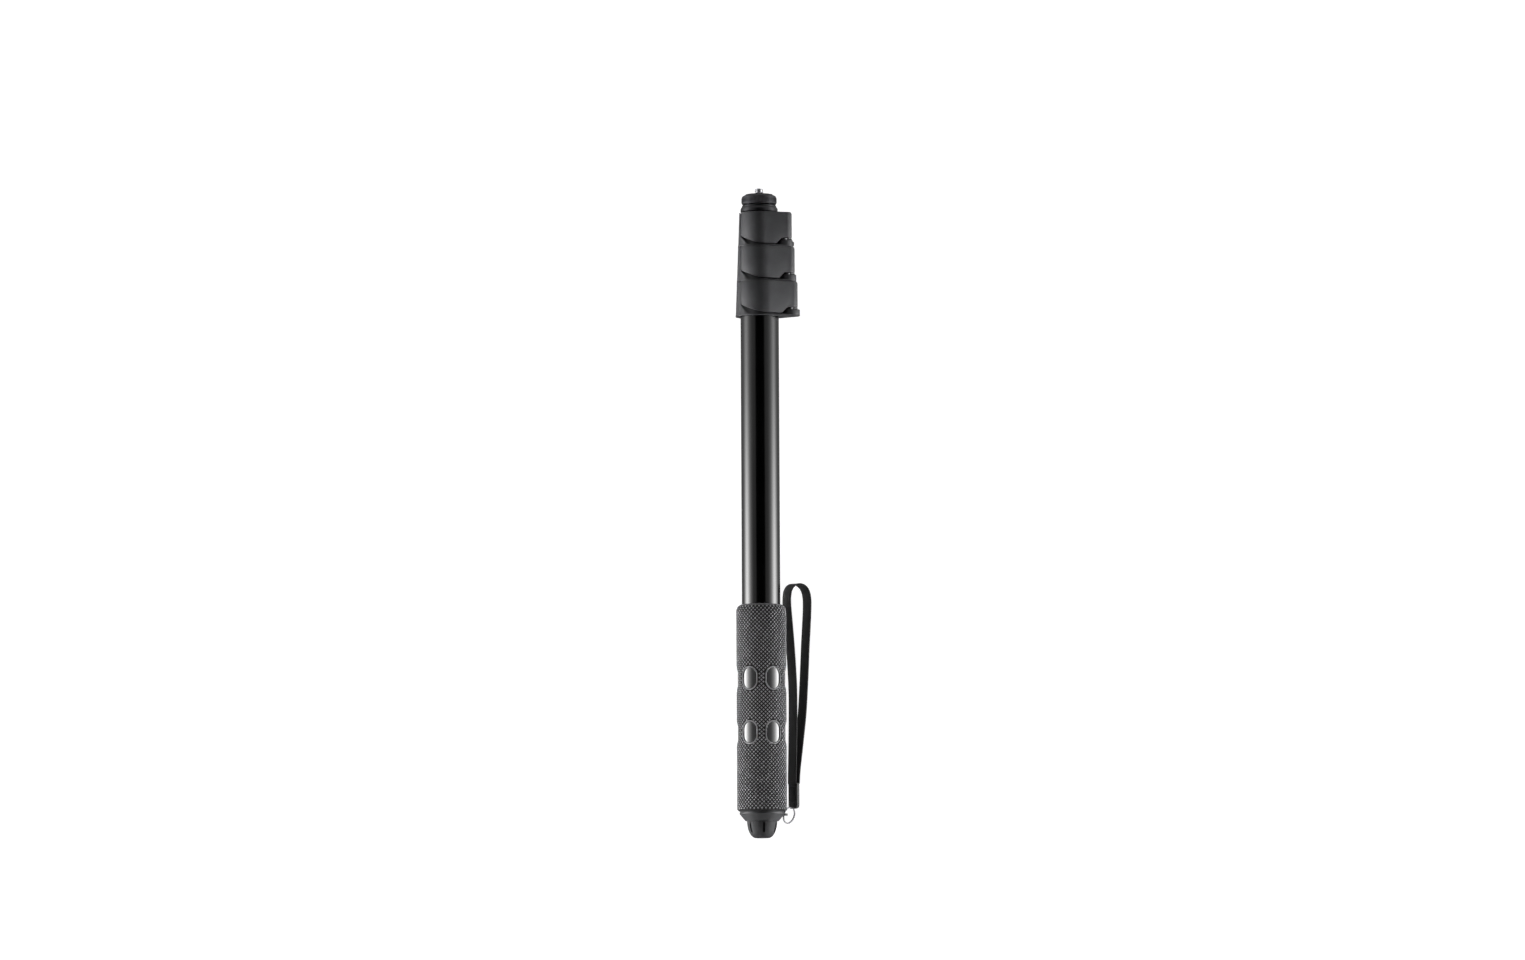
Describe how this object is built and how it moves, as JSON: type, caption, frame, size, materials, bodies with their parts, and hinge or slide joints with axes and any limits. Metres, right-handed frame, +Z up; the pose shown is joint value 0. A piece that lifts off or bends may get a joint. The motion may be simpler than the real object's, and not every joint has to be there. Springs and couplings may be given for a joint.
{
  "type": "camera monopod",
  "caption": "Camera monopod, folded and lying down: nested black tubes with flip locks, knurled rubber grip, rubber foot, screw platform and a looped wrist strap.",
  "frame": {"origin": "centre of the foot's flat tip, on the pole's axis", "axes": "+Y along the pole from the foot to the camera screw, +X to the side of the lock hinges, +Z up from the surface that it lies on"},
  "size_m": [0.0546, 0.4747, 0.0366],
  "materials": {
    "foot_rubber": "matte moulded rubber",
    "grip_rubber": "knurled matte rubber",
    "pad_rubber": "matte rubber",
    "cap_plastic": "satin moulded",
    "lock_plastic": "fine matte texture",
    "core_plastic": "gloss",
    "tube_black": "gloss black coating",
    "head_black": "satin black anodised",
    "nylon": "moulded nylon",
    "zinc_steel": "zinc plated",
    "screw_steel": "bright turned",
    "screw_black": "black oxide",
    "ring_chrome": "polished",
    "strap_webbing": "woven webbing"
  },
  "bodies": {
    "main_section": {"foot": "foot_rubber", "foot_stud": "zinc_steel", "end_cap": "cap_plastic", "cap_plug": "cap_plastic", "grip_core": "core_plastic", "grip_sleeve": "grip_rubber", "main_tube": "tube_black", "lower_lock_collar": "lock_plastic", "lower_lock_pin": "zinc_steel", "lower_lock_shoe": "nylon", "lower_lock_bush": "nylon", "lower_lock_screw": "screw_black"},
    "second_section": {"second_tube": "tube_black", "second_tube_guide": "nylon", "middle_lock_collar": "lock_plastic", "middle_lock_pin": "zinc_steel", "middle_lock_shoe": "nylon", "middle_lock_bush": "nylon", "middle_lock_screw": "screw_black"},
    "third_section": {"third_tube": "tube_black", "third_tube_guide": "nylon", "upper_lock_collar": "lock_plastic", "upper_lock_pin": "zinc_steel", "upper_lock_shoe": "nylon", "upper_lock_bush": "nylon", "upper_lock_screw": "screw_black"},
    "top_section": {"top_tube": "tube_black", "top_tube_guide": "nylon", "head_flange": "head_black", "thrust_washer": "nylon"},
    "platform": {"platform_disc": "head_black", "platform_pad": "pad_rubber", "camera_screw": "screw_steel", "screw_nut": "zinc_steel"},
    "lower_lever": {"lower_lock_lever": "lock_plastic"},
    "middle_lever": {"middle_lock_lever": "lock_plastic"},
    "upper_lever": {"upper_lock_lever": "lock_plastic"},
    "strap": {"split_ring": "ring_chrome", "strap_tab": "strap_webbing", "wrist_strap": "strap_webbing"}
  },
  "joints": [
    {"name": "second_slide", "type": "slide", "parent": "main_section", "child": "second_section", "axis": [0, 1, 0], "range_m": [0, 0.32]},
    {"name": "third_slide", "type": "slide", "parent": "second_section", "child": "third_section", "axis": [0, 1, 0], "range_m": [0, 0.32]},
    {"name": "top_slide", "type": "slide", "parent": "third_section", "child": "top_section", "axis": [0, 1, 0], "range_m": [0, 0.32]},
    {"name": "platform_turn", "type": "hinge", "parent": "top_section", "child": "platform", "pos_m": [0, 0.463, 0], "axis": [0, 1, 0], "continuous": true},
    {"name": "lower_lever_hinge", "type": "hinge", "parent": "main_section", "child": "lower_lever", "pos_m": [0.0228, 0.393, 0.004], "axis": [0, 1, 0], "range_deg": [0, 110]},
    {"name": "middle_lever_hinge", "type": "hinge", "parent": "second_section", "child": "middle_lever", "pos_m": [0.0208, 0.4185, 0.004], "axis": [0, 1, 0], "range_deg": [0, 110]},
    {"name": "upper_lever_hinge", "type": "hinge", "parent": "third_section", "child": "upper_lever", "pos_m": [0.0188, 0.444, 0.004], "axis": [0, 1, 0], "range_deg": [0, 110]},
    {"name": "strap_swing", "type": "hinge", "parent": "main_section", "child": "strap", "pos_m": [0.01586, 0.0174, -0.0074], "axis": [0, 0, 1], "range_deg": [-30, 0]}
  ]
}
